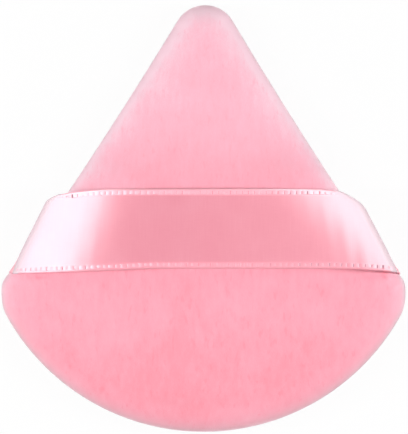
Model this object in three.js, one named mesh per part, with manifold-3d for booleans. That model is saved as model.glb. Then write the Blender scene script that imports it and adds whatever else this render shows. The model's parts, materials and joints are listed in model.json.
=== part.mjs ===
// Triangular velour powder puff with a satin finger strap.
// Two crowned velour panels are sewn together inside out, turned through a gap in the base seam,
// filled with a die-cut sponge and closed by hand. A ribbon, caught in both side seams, arches over the back.
// Millimetres, +Z up. The puff lies on its applicator face with its tip towards +Y.
// The origin is under the middle of its length and width.
import * as THREE from "three";
import { mergeVertices } from "three/addons/utils/BufferGeometryUtils.js";
import Module from "manifold-3d";

const wasm = await Module();
wasm.setup();

// Pad outline, seen from above: a rounded triangle on a bowed base
const padLength = 80; // tip to base
const padWidth = 75.5; // across the base corners
const tipRadius = 6;
const cornerRadius = 6.4;
const baseBow = 24.9; // depth of the bowed base, below the middles of the corner roundings
const sideRadius = 900; // the sides draw in between tip and corners, as on a cushion

// Pad section
const backCrown = 7.2; // rise of the strap side above the seam
const faceCrown = 6.8; // depth of the applicator side below the seam
const backRounding = 24; // the strap side levels off this far in from its rim
const faceRounding = 16; // the applicator side is flat from here inwards
const crownFullness = 2.2; // exponent of the rounding: higher is squarer
const velour = 1.5; // velour with its pile
const lipHeight = 1.2; // the rim's fullest line, above and below the seam
const grooveDepth = 0.8; // the seam lies in a groove this deep

// Seam
const allowance = 4.6; // velour turned inwards at the seam
const allowanceThickness = 1.1; // the pile is crushed there
const stitchInset = 2.4; // seam line, in from the rim
const tackInset = 3.6; // second row that holds each ribbon end
const stitchPitch = 5;
const turningGap = 34; // stretch of the base that is closed last
const tackSpan = 10; // length of each ribbon tack
const tackStitches = 4;
const threadDiameter = 0.4;
const threadClearance = 0.15;
const clearance = 0.3;

// Ribbon strap
const ribbonWidth = 15;
const ribbonThickness = 0.4;
const selvedgeThickness = 0.6;
const selvedgeWidth = 0.9;
const strapCentre = -2.45; // its middle line along Y
const fingerGap = 5; // clear height over the crown
const shoulderRun = 13.5; // the strap bends down over this width
const strapProud = 1.75; // its fold stands out this far past the rim, at the middle of the ribbon
const foldSkew = 0.15; // and further towards the tip, by this much for each millimetre of the ribbon's width
const foldHeight = 4; // of the fold above the seam
const foldDrift = 0.5; // how far the ribbon slips towards the base as it bends: 0 none, 1 all of an oblique fold
const gather = 0.12; // share of the ribbon's width that is eased in at the seam
const tailDepth = 4.2; // ribbon end inside the seam

// Fineness
const baseSteps = 7;
const cornerSteps = 5;
const sideSteps = 4;
const tipSteps = 4;
const crownRings = 6;
const liningRings = 3;
const shoulderSteps = 9;
const returnSteps = 7;
const tailSteps = 2;
const threadSides = 5;
const holeSides = 4;
const ringBias = 1.6; // rings crowd towards the rim

// Values that follow
const seamGap = clearance;
const allowanceTop = seamGap / 2 + allowanceThickness;
const threadRadius = threadDiameter / 2;
const threadLevel = allowanceTop + threadClearance + threadRadius;
const threadRoof = threadLevel + threadRadius + clearance;
const wallInset = velour + threadClearance;
const coreInset = allowance + clearance;
const leastFillet = 0.4;

// Pad outline

const bearing = (from, to) => Math.atan2(to.y - from.y, to.x - from.x);

// One of the two points where two circles cross, on the left (1) or right (-1) of the line between their centres
function crossing(a, radiusA, b, radiusB, hand) {
  const way = b.clone().sub(a);
  const apart = way.length();
  way.divideScalar(apart);
  const reach = (apart ** 2 + radiusA ** 2 - radiusB ** 2) / (2 * apart);
  const aside = hand * Math.sqrt(radiusA ** 2 - reach ** 2);
  return new THREE.Vector2(a.x + way.x * reach - way.y * aside, a.y + way.y * reach + way.x * aside);
}

const cornerCentre = new THREE.Vector2(padWidth / 2 - cornerRadius, baseBow - padLength / 2);
const tipCentre = new THREE.Vector2(0, padLength / 2 - tipRadius);

// The base is the one arc that touches both corner roundings and the end of the pad's length
const baseRadius = (cornerCentre.x ** 2 + baseBow ** 2 - cornerRadius ** 2) / (2 * (baseBow - cornerRadius));
const baseCentre = new THREE.Vector2(0, baseRadius - padLength / 2);
const sideCentre = crossing(tipCentre, sideRadius + tipRadius, cornerCentre, sideRadius + cornerRadius, 1);

// The widest circle in the outline touches the base and both sides: the crowns centre on it
const sideToBase = sideRadius + baseRadius - baseCentre.y;
const crownY = (sideCentre.lengthSq() - sideToBase ** 2) / (2 * (sideToBase + sideCentre.y));
const inRadius = baseRadius - baseCentre.y + crownY;

// The eight arcs of the outline, counter-clockwise from the middle of the base, drawn in from the rim by inset
function outlineArcs(inset) {
  const base = baseRadius - inset;
  const side = sideRadius + inset;
  const cornerFillet = Math.max(cornerRadius - inset, leastFillet);
  const tipFillet = Math.max(tipRadius - inset, leastFillet);
  const corner = crossing(baseCentre, base - cornerFillet, sideCentre, side + cornerFillet, -1);
  const tip = new THREE.Vector2(0, sideCentre.y - Math.sqrt((side + tipFillet) ** 2 - sideCentre.x ** 2));
  const right = [
    [baseCentre, base, -Math.PI / 2, bearing(baseCentre, corner), false, baseSteps],
    [corner, cornerFillet, bearing(baseCentre, corner), bearing(corner, sideCentre), false, cornerSteps],
    [sideCentre, side, bearing(sideCentre, corner), bearing(sideCentre, tip), true, sideSteps],
    [tip, tipFillet, bearing(tip, sideCentre), Math.PI / 2, false, tipSteps],
  ];
  const left = right.toReversed().map(([centre, radius, start, end, clockwise, steps]) => {
    const mirrored = new THREE.Vector2(-centre.x, centre.y);
    return [mirrored, radius, Math.PI - end, Math.PI - start, clockwise, steps];
  });
  return [...right, ...left].map(([centre, radius, start, end, clockwise, steps]) => ({
    curve: new THREE.ArcCurve(centre.x, centre.y, radius, start, end, clockwise),
    steps,
  }));
}

const outlinePoints = (inset) =>
  outlineArcs(inset).flatMap(({ curve, steps }) => curve.getPoints(steps).slice(0, -1));

// A ring of the pad at a distance in from the rim: a true offset near the rim, then shrinking on the crown's centre
// and growing rounder, so that the crown has no ridges
function padRing([inset, height]) {
  const offset = Math.min(inset, coreInset);
  const size = 1 - (inset - offset) / (inRadius - coreInset);
  const centre = new THREE.Vector2(0, crownY);
  const spokes = outlinePoints(offset).map((point) => point.sub(centre));
  const meanReach = spokes.reduce((sum, spoke) => sum + spoke.length(), 0) / spokes.length;
  return spokes.map((spoke) => {
    const reach = size * THREE.MathUtils.lerp(meanReach, spoke.length(), size);
    const { x, y } = spoke.setLength(reach).add(centre);
    return new THREE.Vector3(x, y, height);
  });
}

// Solids

// A closed surface over rings of equally many points, from a first to a last middle point.
// Each ring runs counter-clockwise as seen looking along the rings.
function ringSolid(first, rings, last) {
  const count = rings[0].length;
  const points = [first, ...rings.flat(), last];
  const index = [];
  const at = (ring, i) => 1 + ring * count + (i % count);
  for (let i = 0; i < count; i++) {
    index.push(0, at(0, i), at(0, i + 1));
    for (let ring = 0; ring + 1 < rings.length; ring++) {
      index.push(at(ring, i), at(ring + 1, i), at(ring + 1, i + 1));
      index.push(at(ring, i), at(ring + 1, i + 1), at(ring, i + 1));
    }
    index.push(at(rings.length - 1, i + 1), at(rings.length - 1, i), points.length - 1);
  }
  return new THREE.BufferGeometry().setFromPoints(points).setIndex(index);
}

// A three.js geometry as a solid that can be cut
function toSolid(geometry) {
  const bare = geometry.clone();
  bare.deleteAttribute("normal");
  bare.deleteAttribute("uv");
  const merged = mergeVertices(bare);
  return new wasm.Manifold(
    new wasm.Mesh({
      numProp: 3,
      vertProperties: merged.attributes.position.array,
      triVerts: new Uint32Array(merged.index.array),
    }),
  );
}

function toGeometry(solid) {
  const { vertProperties, triVerts } = solid.getMesh();
  return new THREE.BufferGeometry()
    .setAttribute("position", new THREE.BufferAttribute(vertProperties, 3))
    .setIndex(new THREE.BufferAttribute(triVerts, 1));
}

const cut = (geometry, cutters) =>
  toGeometry(cutters.reduce((solid, cutter) => solid.subtract(cutter), toSolid(geometry)));

// Velour panels and sponge

// Share of the full height at a distance in from the rim: steep at the rim, level past the rounding
const crowned = (distance, rounding) =>
  Math.sqrt(1 - (1 - Math.min(distance / rounding, 1)) ** crownFullness);

const back = { crown: backCrown, rounding: Math.min(backRounding, inRadius) };
const face = { crown: faceCrown, rounding: Math.min(faceRounding, inRadius) };

// Inside of a panel: it clears the thread that lies on the turned-in allowance, then follows the crown
const liningHeight = ({ crown, rounding }, inset) =>
  threadRoof + (crown - velour - threadRoof) * crowned(inset - wallInset, rounding - wallInset);

const liningInsets = ({ rounding }) =>
  Array.from({ length: liningRings + 1 }, (_, i) => coreInset + (rounding - coreInset) * (i / liningRings));

// Half a panel's section, as distance in from the rim and height over the seam, from the crown round to the lining
function panelSection(side) {
  const { crown, rounding } = side;
  const outside = Array.from({ length: crownRings + 1 }, (_, i) => {
    const inset = rounding * (1 - i / crownRings) ** ringBias;
    return [inset, lipHeight + (crown - lipHeight) * crowned(inset, rounding)];
  });
  return [
    ...outside,
    [grooveDepth * 0.3, lipHeight / 2],
    [grooveDepth, seamGap / 2],
    [allowance, seamGap / 2],
    [allowance, allowanceTop],
    [wallInset, allowanceTop],
    [wallInset, threadRoof],
    ...liningInsets(side).map((inset) => [inset, liningHeight(side, inset)]),
  ];
}

const crownPoint = (height) => new THREE.Vector3(0, crownY, height);
const below = (section) => section.map(([inset, height]) => [inset, -height]).toReversed();

function backPanel() {
  const rings = panelSection(back).map(padRing);
  return ringSolid(crownPoint(backCrown), rings, crownPoint(backCrown - velour));
}

function facePanel() {
  const rings = below(panelSection(face)).map(padRing);
  return ringSolid(crownPoint(velour - faceCrown), rings, crownPoint(-faceCrown));
}

// The sponge fills the panels up to the inner edge of the allowances, with a straight die-cut edge
function spongeCore() {
  const half = (side) =>
    liningInsets(side).map((inset) => [inset, liningHeight(side, inset) - clearance]);
  const rings = [...half(back).toReversed(), ...below(half(face).toReversed())].map(padRing);
  const inside = velour + clearance;
  return ringSolid(crownPoint(backCrown - inside), rings, crownPoint(inside - faceCrown));
}

// Ribbon strap

// The rim beside the strap, with the directions out of the pad and down the side towards the base corner
const rimX = sideCentre.x - Math.sqrt(sideRadius ** 2 - (strapCentre - sideCentre.y) ** 2);
const rim = new THREE.Vector2(rimX, strapCentre);
const outward = sideCentre.clone().sub(rim).normalize();
const down = new THREE.Vector2(outward.y, -outward.x);

const strapHeight = backCrown + fingerGap + ribbonThickness / 2;
const shoulderRise = strapHeight - foldHeight;
const shoulderStart = strapProud - shoulderRun;

// The strap's bend square to the side, as distance out from the rim and height over the seam:
// a quarter ellipse over the shoulder, one back into the seam, and the tail inside it
const shoulder = new THREE.EllipseCurve(
  shoulderStart, foldHeight, shoulderRun, shoulderRise, Math.PI / 2, 0, true);
const seamReturn = new THREE.EllipseCurve(
  0, foldHeight, strapProud, foldHeight, 0, -Math.PI / 2, true);
const tail = new THREE.LineCurve(new THREE.Vector2(0, 0), new THREE.Vector2(-tailDepth, 0));
const bends = [
  { curve: shoulder, steps: shoulderSteps, edge: selvedgeThickness },
  { curve: seamReturn, steps: returnSteps, edge: selvedgeThickness },
  { curve: tail, steps: tailSteps, edge: ribbonThickness },
];
const entryRun = shoulder.getLength() + seamReturn.getLength();

// Place along the side, from the rim point, of a point of the ribbon that is offset by across from its middle line
// and lies out from the rim after a run from the start of the shoulder, skew further out than the middle line
function sideways(across, out, run, skew = 0) {
  const slipped = out + skew + foldDrift * (shoulderStart + run - out);
  const eased = across * (1 - gather * Math.min(run / entryRun, 1) ** 2);
  return (eased - slipped * outward.y) / down.y;
}

// The fold stands out further towards the tip, all over the shoulder and less and less on the way into the seam
const skewed = (across, bend, out) => foldSkew * across * [1, out / strapProud, 0][bend];

// The ribbon's section across its width: flat, with a thicker woven edge on both sides
function ribbonSection(edge) {
  const half = ribbonWidth / 2;
  const top = [
    [-half, edge / 4],
    [-half + selvedgeWidth / 2, edge / 2],
    [-half + selvedgeWidth, ribbonThickness / 2],
    [half - selvedgeWidth, ribbonThickness / 2],
    [half - selvedgeWidth / 2, edge / 2],
    [half, edge / 4],
  ];
  return [...top, ...top.map(([across, height]) => [across, -height]).toReversed()];
}

// Rings of the right half of the strap, from the start of the shoulder to the ribbon's end
function strapRings() {
  const rings = [];
  let run = 0;
  bends.forEach(({ curve, steps, edge }, bend) => {
    for (let step = bend ? 1 : 0; step <= steps; step++) {
      const share = step / steps;
      const pressed = bend === 1 && step === steps ? ribbonThickness : edge;
      const at = curve.getPointAt(share);
      const way = curve.getTangentAt(share);
      const done = run + share * curve.getLength();
      rings.push(
        ribbonSection(pressed).map(([across, height]) => {
          const skew = skewed(across, bend, at.x);
          const along = sideways(across, at.x, done, skew);
          const out = at.x + skew - way.y * height;
          return new THREE.Vector3(
            rim.x + down.x * along + outward.x * out,
            rim.y + down.y * along + outward.y * out,
            at.y + way.x * height,
          );
        }),
      );
    }
    run += curve.getLength();
  });
  return rings;
}

const mirrorX = (points) => points.map(({ x, y, z }) => new THREE.Vector3(-x, y, z));
const middle = (points) =>
  points.reduce((sum, point) => sum.add(point), new THREE.Vector3()).divideScalar(points.length);

function ribbonStrap() {
  const right = strapRings();
  const rings = [...right.toReversed().map(mirrorX), ...right];
  return ringSolid(middle(rings[0]), rings, middle(rings.at(-1)));
}

// Where the ribbon's end lies between the allowances, as a plan outline with clearance all round
function tailPocket(hand) {
  const corner = (across, out) => {
    const grown = Math.sign(across) * (clearance / outward.x);
    const along = sideways(across, out, entryRun - out) - grown;
    return new THREE.Vector2(
      hand * (rim.x + down.x * along + outward.x * out),
      rim.y + down.y * along + outward.y * out,
    );
  };
  const half = ribbonWidth / 2;
  const inner = -tailDepth - clearance;
  const plan = [corner(-half, strapProud), corner(half, strapProud), corner(half, inner), corner(-half, inner)];
  const thickness = ribbonThickness + 2 * clearance;
  const pocket = new THREE.ExtrudeGeometry(new THREE.Shape(plan), { depth: thickness, bevelEnabled: false });
  return toSolid(pocket.translate(0, 0, -thickness / 2));
}

// Seam rows: the places where thread passes through the allowances

const seamLine = new THREE.CurvePath();
outlineArcs(stitchInset).forEach(({ curve }) => seamLine.add(curve));
const seamLength = seamLine.getLength();

// A place on the seam line and the direction of sewing, by its length from the middle of the base
function onSeam(length) {
  const share = (length / seamLength + 1) % 1;
  return { at: seamLine.getPoint(share), way: seamLine.getTangent(share) };
}

function seamRow(from, to) {
  const stitches = Math.max(1, Math.round((to - from) / stitchPitch));
  return Array.from({ length: stitches + 1 }, (_, i) => onSeam(from + ((to - from) * i) / stitches));
}

const gapEnd = turningGap / 2;
const mainRow = seamRow(gapEnd + stitchPitch / 2, seamLength - gapEnd - stitchPitch / 2);
const closingRow = seamRow(stitchPitch / 2 - gapEnd, gapEnd - stitchPitch / 2);

// The tack runs along the side, over the middle of the ribbon's end
function tackRow(hand) {
  const centre = sideways(0, -tackInset, entryRun + tackInset);
  return Array.from({ length: tackStitches + 1 }, (_, i) => {
    const along = centre + tackSpan * (0.5 - i / tackStitches);
    const at = new THREE.Vector2(
      hand * (rim.x + down.x * along - outward.x * tackInset),
      rim.y + down.y * along - outward.y * tackInset,
    );
    return { at, way: new THREE.Vector2(-hand * down.x, -down.y) };
  });
}

const tackRows = { left: tackRow(-1), right: tackRow(1) };

// Half the length of thread that turns down at a hole, and the room that it needs there
const turnHalf = 1.5 * threadDiameter;
const holeHalfWidth = threadRadius + threadClearance;
const holeHalfLength = turnHalf + threadRadius + threadClearance;

function needleHole({ at, way }) {
  const depth = 2 * (allowanceTop + clearance / 2);
  const hole = new THREE.CylinderGeometry(1, 1, depth, holeSides)
    .rotateY(Math.PI / holeSides)
    .rotateX(Math.PI / 2)
    .scale(holeHalfLength / Math.cos(Math.PI / holeSides), holeHalfWidth / Math.cos(Math.PI / holeSides), 1)
    .rotateZ(Math.atan2(way.y, way.x))
    .translate(at.x, at.y, 0);
  return toSolid(hole);
}

// Threads

// A thread through points: a closed tube whose sections stay upright
function thread(points) {
  const rings = points.map((point, i) => {
    const before = points[Math.max(i - 1, 0)];
    const after = points[Math.min(i + 1, points.length - 1)];
    const way = after.clone().sub(before).normalize();
    const right = new THREE.Vector3(way.y, -way.x, 0).normalize();
    const up = right.clone().cross(way);
    return Array.from({ length: threadSides }, (_, side) => {
      const turn = (2 * Math.PI * side) / threadSides;
      return point
        .clone()
        .addScaledVector(right, threadRadius * Math.cos(turn))
        .addScaledVector(up, threadRadius * Math.sin(turn));
    });
  });
  return ringSolid(points[0], rings, points.at(-1));
}

const passing = ({ at, way }, step, height) =>
  new THREE.Vector3(at.x + way.x * step, at.y + way.y * step, height);

// One thread of a lockstitch: it lies on its own side (1 above, -1 below) and dips to the middle at each hole
function lockstitch(row, side) {
  const run = side * threadLevel;
  const lock = side * (threadClearance + threadRadius);
  const dip = turnHalf / 3;
  return thread(
    row.flatMap((hole) => [
      passing(hole, -turnHalf, run),
      passing(hole, -dip, lock),
      passing(hole, dip, lock),
      passing(hole, turnHalf, run),
    ]),
  );
}

// A single thread that passes right through at each hole, over and under in turn
function runningStitch(row) {
  return thread(
    row.flatMap((hole, i) => {
      const side = i % 2 ? -1 : 1;
      return [passing(hole, -turnHalf, side * threadLevel), passing(hole, turnHalf, -side * threadLevel)];
    }),
  );
}

// Assembly

const velourPink = new THREE.MeshStandardMaterial({ color: 0xfdb0c1, roughness: 0.95, metalness: 0 });
const satinPink = new THREE.MeshStandardMaterial({ color: 0xf79bad, roughness: 0.35, metalness: 0 });
const spongeWhite = new THREE.MeshStandardMaterial({ color: 0xf8efe4, roughness: 1, metalness: 0 });
const threadPink = new THREE.MeshStandardMaterial({ color: 0xfac3cf, roughness: 0.6, metalness: 0 });

const holes = [...mainRow, ...closingRow, ...tackRows.left, ...tackRows.right].map(needleHole);
const pockets = [tailPocket(-1), tailPocket(1)];

const puff = new THREE.Group();
puff.position.z = faceCrown; // the pieces are drawn about the seam
const add = (name, geometry, material) => {
  const mesh = new THREE.Mesh(geometry, material);
  mesh.name = name;
  puff.add(mesh);
};
add("velour_back_panel", cut(backPanel(), [...pockets, ...holes]), velourPink);
add("velour_face_panel", cut(facePanel(), [...pockets, ...holes]), velourPink);
add("sponge_core", spongeCore(), spongeWhite);
add("ribbon_strap", cut(ribbonStrap(), holes), satinPink);
add("seam_needle_thread", lockstitch(mainRow, 1), threadPink);
add("seam_bobbin_thread", lockstitch(mainRow, -1), threadPink);
add("closing_stitch_thread", runningStitch(closingRow), threadPink);
add("strap_tack_left", runningStitch(tackRows.left), threadPink);
add("strap_tack_right", runningStitch(tackRows.right), threadPink);

export default puff;
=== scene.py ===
import json
import math

import bmesh
import bpy
import numpy as np
from mathutils.bvhtree import BVHTree
from mathutils.kdtree import KDTree
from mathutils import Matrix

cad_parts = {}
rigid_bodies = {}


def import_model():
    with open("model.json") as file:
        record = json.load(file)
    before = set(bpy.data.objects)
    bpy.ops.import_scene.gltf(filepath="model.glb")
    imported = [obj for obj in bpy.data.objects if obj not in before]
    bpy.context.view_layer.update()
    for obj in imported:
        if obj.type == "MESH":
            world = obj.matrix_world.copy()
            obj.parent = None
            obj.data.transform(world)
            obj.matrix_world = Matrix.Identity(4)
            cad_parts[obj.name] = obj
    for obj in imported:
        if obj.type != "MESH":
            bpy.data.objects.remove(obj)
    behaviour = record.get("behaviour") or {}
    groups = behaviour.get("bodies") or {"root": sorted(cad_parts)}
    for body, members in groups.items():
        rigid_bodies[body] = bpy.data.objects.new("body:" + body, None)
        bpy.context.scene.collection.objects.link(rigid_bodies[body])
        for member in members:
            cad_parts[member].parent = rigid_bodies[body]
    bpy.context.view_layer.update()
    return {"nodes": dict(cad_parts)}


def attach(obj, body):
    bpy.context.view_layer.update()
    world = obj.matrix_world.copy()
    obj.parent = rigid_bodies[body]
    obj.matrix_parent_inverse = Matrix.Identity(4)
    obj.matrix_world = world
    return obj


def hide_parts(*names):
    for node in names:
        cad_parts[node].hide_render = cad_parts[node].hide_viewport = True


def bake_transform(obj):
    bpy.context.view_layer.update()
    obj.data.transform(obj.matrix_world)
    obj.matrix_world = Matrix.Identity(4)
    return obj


for leftover in list(bpy.data.objects):
    bpy.data.objects.remove(leftover)

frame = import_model()
scene = bpy.context.scene
mm = 0.001
print("frame loaded:", ", ".join(sorted(frame["nodes"])))


# small helpers for meshes

def addObject(name, data):
    made = bpy.data.objects.new(name, data)
    scene.collection.objects.link(made)
    return made


def meshObject(name, points, faces, edges=()):
    mesh = bpy.data.meshes.new(name)
    mesh.from_pydata([tuple(p) for p in points], list(edges), list(faces))
    mesh.update()
    return addObject(name, mesh)


def bake(piece, name):
    # a new plain object with the modifiers applied
    depsgraph = bpy.context.evaluated_depsgraph_get()
    mesh = bpy.data.meshes.new_from_object(piece.evaluated_get(depsgraph), depsgraph=depsgraph)
    bpy.data.objects.remove(piece)
    mesh.name = name
    return addObject(name, mesh)


def readPoints(mesh):
    points = np.empty(len(mesh.vertices) * 3)
    mesh.vertices.foreach_get("co", points)
    return points.reshape(-1, 3)


def writePoints(mesh, points):
    mesh.vertices.foreach_set("co", np.asarray(points, float).ravel())
    mesh.update()


def shadeSmooth(piece):
    piece.data.polygons.foreach_set("use_smooth", [True] * len(piece.data.polygons))
    piece.data.update()


def storeOnPoints(piece, name, values, kind="FLOAT", field="value"):
    layer = piece.data.attributes.new(name, kind, "POINT")
    layer.data.foreach_set(field, np.asarray(values, float).ravel())


def smoothStep(t):
    t = np.clip(t, 0, 1)
    return t * t * (3 - 2 * t)


def unit(vectors):
    return vectors / np.linalg.norm(vectors, axis=-1, keepdims=True)


def runAlong(points):
    # length along rows of points
    steps = np.linalg.norm(np.diff(points, axis=0), axis=-1)
    return np.concatenate([np.zeros_like(steps[:1]), np.cumsum(steps, axis=0)])


# small helpers for node trees; a socket given as a value is linked

def srgb(red, green, blue):
    steps = [c / 255 for c in (red, green, blue)]
    return [*(c / 12.92 if c <= 0.04045 else ((c + 0.055) / 1.055) ** 2.4 for c in steps), 1]


def addNode(tree, kind, inputs=None, **settings):
    node = tree.nodes.new(kind)
    for key, value in settings.items():
        setattr(node, key, value)
    for key, value in (inputs or {}).items():
        if isinstance(value, bpy.types.NodeSocket):
            tree.links.new(value, node.inputs[key])
        else:
            node.inputs[key].default_value = value
    return node


def outputOf(tree, kind, inputs=None, **settings):
    # first output of a new node
    return addNode(tree, kind, inputs, **settings).outputs[0]


def maths(tree, operation, first, second=0.0):
    return outputOf(tree, "ShaderNodeMath", {0: first, 1: second}, operation=operation)


def plus(tree, first, second):
    return maths(tree, "ADD", first, second)


def minus(tree, first, second):
    return maths(tree, "SUBTRACT", first, second)


def times(tree, first, second):
    return maths(tree, "MULTIPLY", first, second)


def weighted(tree, first, *others):
    # sum of values, each times its share
    total = times(tree, *first)
    for other in others:
        total = plus(tree, total, times(tree, *other))
    return total


def ranged(tree, value, low, high, start=0.0, end=1.0):
    # start up to low, end from high on, and even between
    inputs = {"Value": value, "From Min": low, "From Max": high, "To Min": start, "To Max": end}
    return outputOf(tree, "ShaderNodeMapRange", inputs)


def noise(tree, vector, scale, detail, roughness=0.5):
    inputs = {"Vector": vector, "Scale": scale, "Detail": detail, "Roughness": roughness}
    return addNode(tree, "ShaderNodeTexNoise", inputs).outputs["Fac"]


def objectPlace(tree):
    return addNode(tree, "ShaderNodeTexCoord").outputs["Object"]


def axis(tree, vector, name):
    return addNode(tree, "ShaderNodeSeparateXYZ", {"Vector": vector}).outputs[name]


def scaled(tree, vector, scale):
    return outputOf(tree, "ShaderNodeMapping", {"Vector": vector, "Scale": scale})


def attribute(tree, name):
    return addNode(tree, "ShaderNodeAttribute", attribute_name=name).outputs["Fac"]


def ramp(tree, fac, stops):
    node = addNode(tree, "ShaderNodeValToRGB", {"Fac": fac})
    elements = node.color_ramp.elements
    while len(elements) < len(stops):
        elements.new(0.5)
    for element, (position, colour) in zip(elements, stops):
        element.position = position
        element.color = srgb(*colour)
    return node.outputs["Color"]


def mixColour(tree, fac, first, second):
    # by number, because the node has other sockets of these names
    return addNode(tree, "ShaderNodeMix", {0: fac, 6: first, 7: second}, data_type="RGBA").outputs[2]


def newMaterial(name):
    material = bpy.data.materials.new(name)
    material.use_nodes = True
    material.node_tree.nodes.clear()
    return material, material.node_tree


def showPrincipled(tree, inputs, height=None, strength=1.0, distance=1 * mm):
    # the last three are for the bump
    if height:
        relief = {"Height": height, "Strength": strength, "Distance": distance}
        inputs = {**inputs, "Normal": outputOf(tree, "ShaderNodeBump", relief)}
    surface = outputOf(tree, "ShaderNodeBsdfPrincipled", inputs)
    addNode(tree, "ShaderNodeOutputMaterial", {"Surface": surface})


# camera and light

cameraSetup = {
    "lens": 250,
    "sensor": 36,
    "clip": (0.01, 10),
    "pixel": 0.1875 * mm,  # at the rim of the puff
    "picture": (408, 434),
    "rimHeight": 8 * mm,
    "shift": (0.5, 1.5),  # of the picture's middle, in pixels
}


def makeCamera(setup):
    data = bpy.data.cameras.new("camera")
    data.lens = setup["lens"]
    data.sensor_width = setup["sensor"]
    data.clip_start, data.clip_end = setup["clip"]
    right, up = (shift * setup["pixel"] for shift in setup["shift"])
    away = setup["pixel"] * max(setup["picture"]) * setup["lens"] / setup["sensor"]
    scene.camera = addObject("camera", data)
    scene.camera.location = (right, up, setup["rimHeight"] + away)


# a box has, in degrees, its azimuth from straight right towards the tip, its zenith from straight up and the
# half angles that it spans sideways and up and down; then its radiance, and what it gives: light on surfaces
# or only a reflection
lightSetup = {
    "distance": 0.45,
    "world": 0.12,
    "horizon": (0.75, 0.45),  # reflections turn white between these heights
    "boxes": {
        "strip_right": (-0.8, 34, (0.8, 18), 75.0, "light"),
        "strip_left": (180.8, 34, (0.8, 18), 75.0, "light"),
        "side_right": (-0.8, 72, (1.5, 12), 45.4, "light"),
        "side_left": (180.8, 72, (1.5, 12), 45.4, "light"),
        "front_fill": (-90, 46, (28, 13), 1.35, "light"),
        "back_fill": (90, 46, (28, 13), 0.5, "light"),
        "gloss_right": (36, 52, (38, 19), 5.2, "gloss"),
        "gloss_left": (168, 52, (30, 19), 5.7, "gloss"),
    },
}


def makeLights(setup):
    distance = setup["distance"]
    for name, (azimuth, zenith, spans, radiance, gives) in setup["boxes"].items():
        data = bpy.data.lights.new(name, "AREA")
        data.shape = "RECTANGLE"
        wide, tall = (2 * distance * math.tan(math.radians(span)) for span in spans)
        data.size, data.size_y = wide, tall
        data.energy = radiance * math.pi * wide * tall
        turn, lean = math.radians(azimuth), math.radians(zenith)
        aside = distance * math.sin(lean)
        lamp = addObject(name, data)
        lamp.location = (aside * math.cos(turn), aside * math.sin(turn), distance * math.cos(lean))
        # its own Y points up the slope, so its X lies sideways
        lamp.rotation_euler = (lean, 0, turn + math.pi / 2)
        lamp.visible_diffuse = gives == "light"
        lamp.visible_glossy = gives == "gloss"


def makeWorld(setup):
    scene.world = bpy.data.worlds.new("studio")
    scene.world.use_nodes = True
    tree = scene.world.node_tree
    tree.nodes.clear()
    # white to the camera, and in reflections down by the horizon
    rays = addNode(tree, "ShaderNodeLightPath").outputs
    height = axis(tree, addNode(tree, "ShaderNodeTexCoord").outputs["Generated"], "Z")
    low = times(tree, rays["Is Glossy Ray"], ranged(tree, height, *setup["horizon"]))
    seen = maths(tree, "MAXIMUM", rays["Is Camera Ray"], low)
    strength = outputOf(tree, "ShaderNodeMix", {"Factor": seen, "A": setup["world"], "B": 1.0})
    background = outputOf(tree, "ShaderNodeBackground", {"Strength": strength})
    addNode(tree, "ShaderNodeOutputWorld", {"Surface": background})


floorSetup = {"half": 3.0, "shadow": 0.05, "paper": (0.86, 0.86, 0.86, 1)}


def makeFloor(setup):
    half = setup["half"]
    corners = [(-half, -half, 0), (half, -half, 0), (half, half, 0), (-half, half, 0)]
    floor = meshObject("floor", corners, [(0, 1, 2, 3)])
    material, tree = newMaterial("white_sweep")
    rays = addNode(tree, "ShaderNodeLightPath").outputs
    seen = maths(tree, "MAXIMUM", rays["Is Camera Ray"], rays["Is Glossy Ray"])
    paper = outputOf(tree, "ShaderNodeBsdfDiffuse", {"Color": setup["paper"]})
    white = outputOf(tree, "ShaderNodeEmission")
    lit = outputOf(tree, "ShaderNodeMixShader", {"Fac": 1 - setup["shadow"], 1: paper, 2: white})
    surface = outputOf(tree, "ShaderNodeMixShader", {"Fac": seen, 1: paper, 2: lit})
    addNode(tree, "ShaderNodeOutputMaterial", {"Surface": surface})
    floor.data.materials.append(material)


makeCamera(cameraSetup)
makeLights(lightSetup)
makeWorld(lightSetup)
makeFloor(floorSetup)
scene.view_settings.view_transform = "Standard"
print("camera, softboxes and floor set")


# outline of the pad: base arc, corner, drawn-in side and tip, as in the solids

padSetup = {
    "length": 80 * mm,
    "width": 75.5 * mm,
    "tipRadius": 6.0 * mm,
    "cornerRadius": 6.4 * mm,
    "sharpest": 0.4 * mm,  # least radius of an inset tip or corner
    "baseBow": 24.9 * mm,
    "sideRadius": 900 * mm,
    "deepest": 4.9 * mm,  # past this inset the rings only shrink
    "seamHeight": 6.8 * mm,
    "panels": {1: (7.2 * mm, 24 * mm), -1: (6.8 * mm, 16 * mm)},  # crown and rounding of back and face
    "lip": 1.2 * mm,
    "fullness": 2.2,
    "arcSteps": (64, 22, 74, 20),  # points on half the base, a corner, a side and half the tip
    "rimSteps": (300, 80, 320, 60),
    # it swells out below the strap
    "lobe": {"bulge": 0.75 * mm, "y": -11.0 * mm, "reach": 2.6 * mm, "halfWidth": 34 * mm},
    "lean": {"share": 0.006, "from": -12 * mm},  # sewn by hand, so the tip isn't quite central
}


def crossing(a, radiusA, b, radiusB, hand):
    # where two circles cross, left or right of the way from a to b
    way = b - a
    apart = np.hypot(*way)
    way = way / apart
    reach = (apart ** 2 + radiusA ** 2 - radiusB ** 2) / (2 * apart)
    aside = hand * math.sqrt(radiusA ** 2 - reach ** 2)
    return a + way * reach + np.array([-way[1], way[0]]) * aside


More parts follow.
